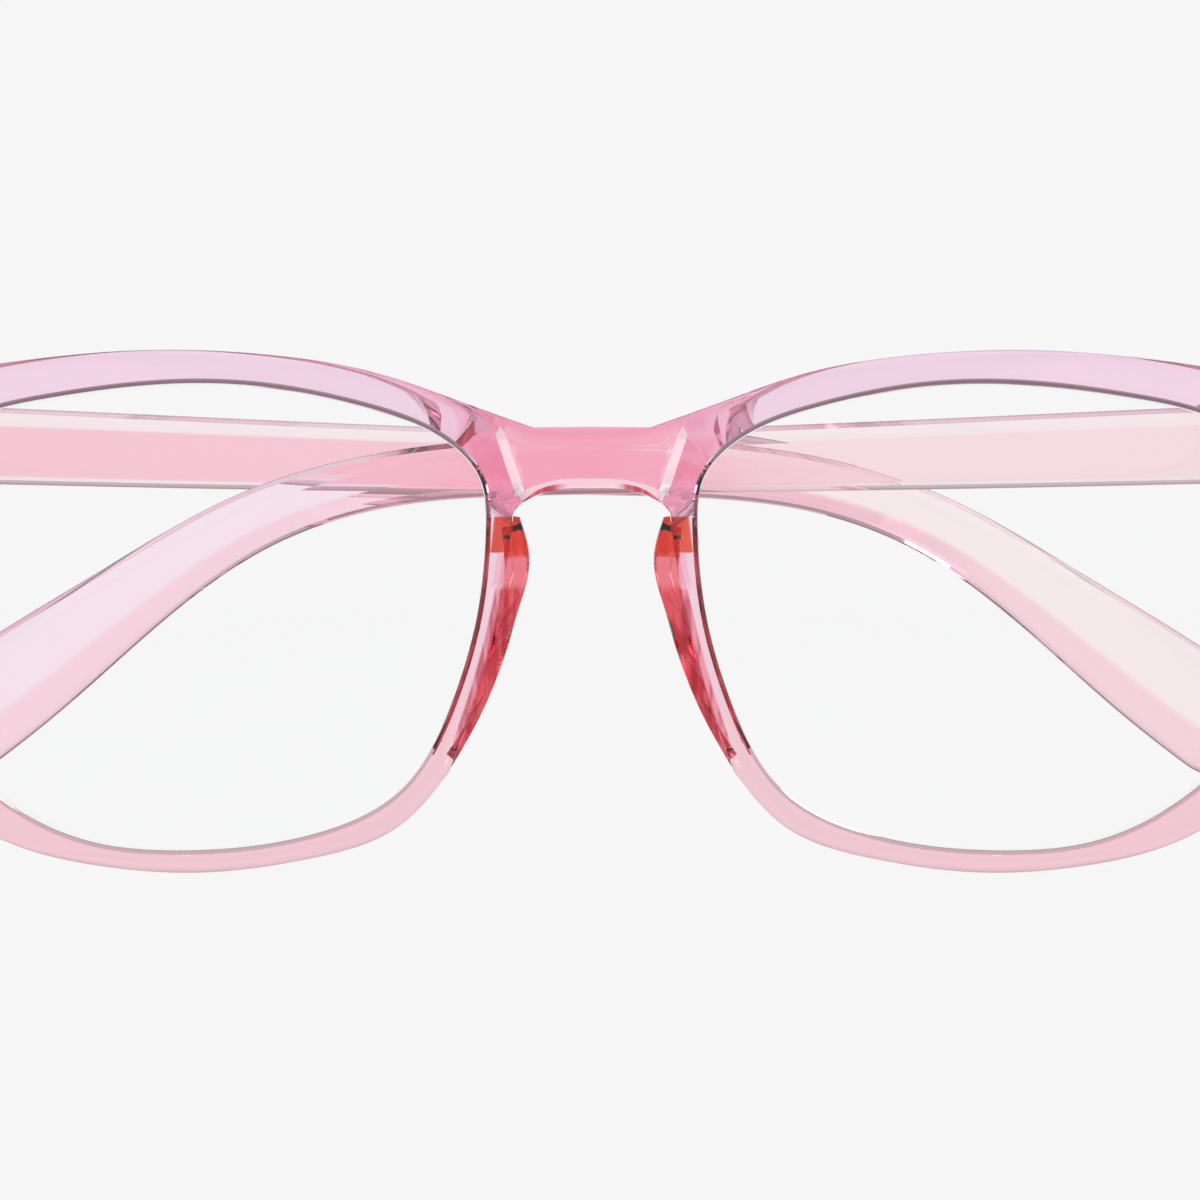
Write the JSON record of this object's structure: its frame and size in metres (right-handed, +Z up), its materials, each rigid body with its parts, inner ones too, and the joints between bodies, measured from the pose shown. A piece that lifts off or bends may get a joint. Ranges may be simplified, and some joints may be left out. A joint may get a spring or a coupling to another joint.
{
  "type": "blue light glasses",
  "caption": "Folded full-rim glasses with a translucent pink moulded frame, clear plano lenses, nose pads and sprung temple hinges.",
  "frame": {"origin": "under the middle of the folded object, level with the lowest point of the rims", "axes": "+X towards the wearer's left, +Y from the front towards the wearer, +Z up, as worn"},
  "size_m": [0.14, 0.0206, 0.0464],
  "materials": {
    "frame_plastic": "polished translucent pink",
    "temple_plastic": "polished translucent pink",
    "pad_plastic": "polished translucent deep pink",
    "lens": "clear, hard coated",
    "hinge_metal": "polished nickel",
    "spring_metal": "drawn steel wire"
  },
  "bodies": {
    "front": {"front_frame": "frame_plastic", "lens_left": "lens", "nose_pad_left": "pad_plastic", "hinge_leaf_left": "hinge_metal", "hinge_screw_left": "hinge_metal", "lens_right": "lens", "nose_pad_right": "pad_plastic", "hinge_leaf_right": "hinge_metal", "hinge_screw_right": "hinge_metal"},
    "carriage_left": {"hinge_carriage_left": "hinge_metal", "stop_nut_left": "hinge_metal"},
    "arm_left": {"temple_left": "temple_plastic", "spring_housing_left": "hinge_metal", "spring_bush_left": "hinge_metal", "hinge_spring_left": "spring_metal"},
    "carriage_right": {"hinge_carriage_right": "hinge_metal", "stop_nut_right": "hinge_metal"},
    "arm_right": {"temple_right": "temple_plastic", "spring_housing_right": "hinge_metal", "spring_bush_right": "hinge_metal", "hinge_spring_right": "spring_metal"}
  },
  "joints": [
    {"name": "temple_left_fold", "type": "hinge", "parent": "front", "child": "carriage_left", "pos_m": [0.0648, 0.00185, 0.0385], "axis": [0, 0, -1], "range_deg": [0, 0.15]},
    {"name": "temple_left_flex", "type": "slide", "parent": "carriage_left", "child": "arm_left", "axis": [-0.9997, -0.0262, 0], "range_m": [0, 0.0015], "stiffness_N_per_m": 1200, "springref_m": -0.0005, "deforming": ["hinge_spring_left"]},
    {"name": "temple_right_fold", "type": "hinge", "parent": "front", "child": "carriage_right", "pos_m": [-0.0648, 0.00185, 0.0385], "axis": [0, 0, 1], "range_deg": [0, 88.1]},
    {"name": "temple_right_flex", "type": "slide", "parent": "carriage_right", "child": "arm_right", "axis": [0.9995, 0.0332, 0], "range_m": [0, 0.0015], "stiffness_N_per_m": 1200, "springref_m": -0.0005, "deforming": ["hinge_spring_right"]}
  ]
}
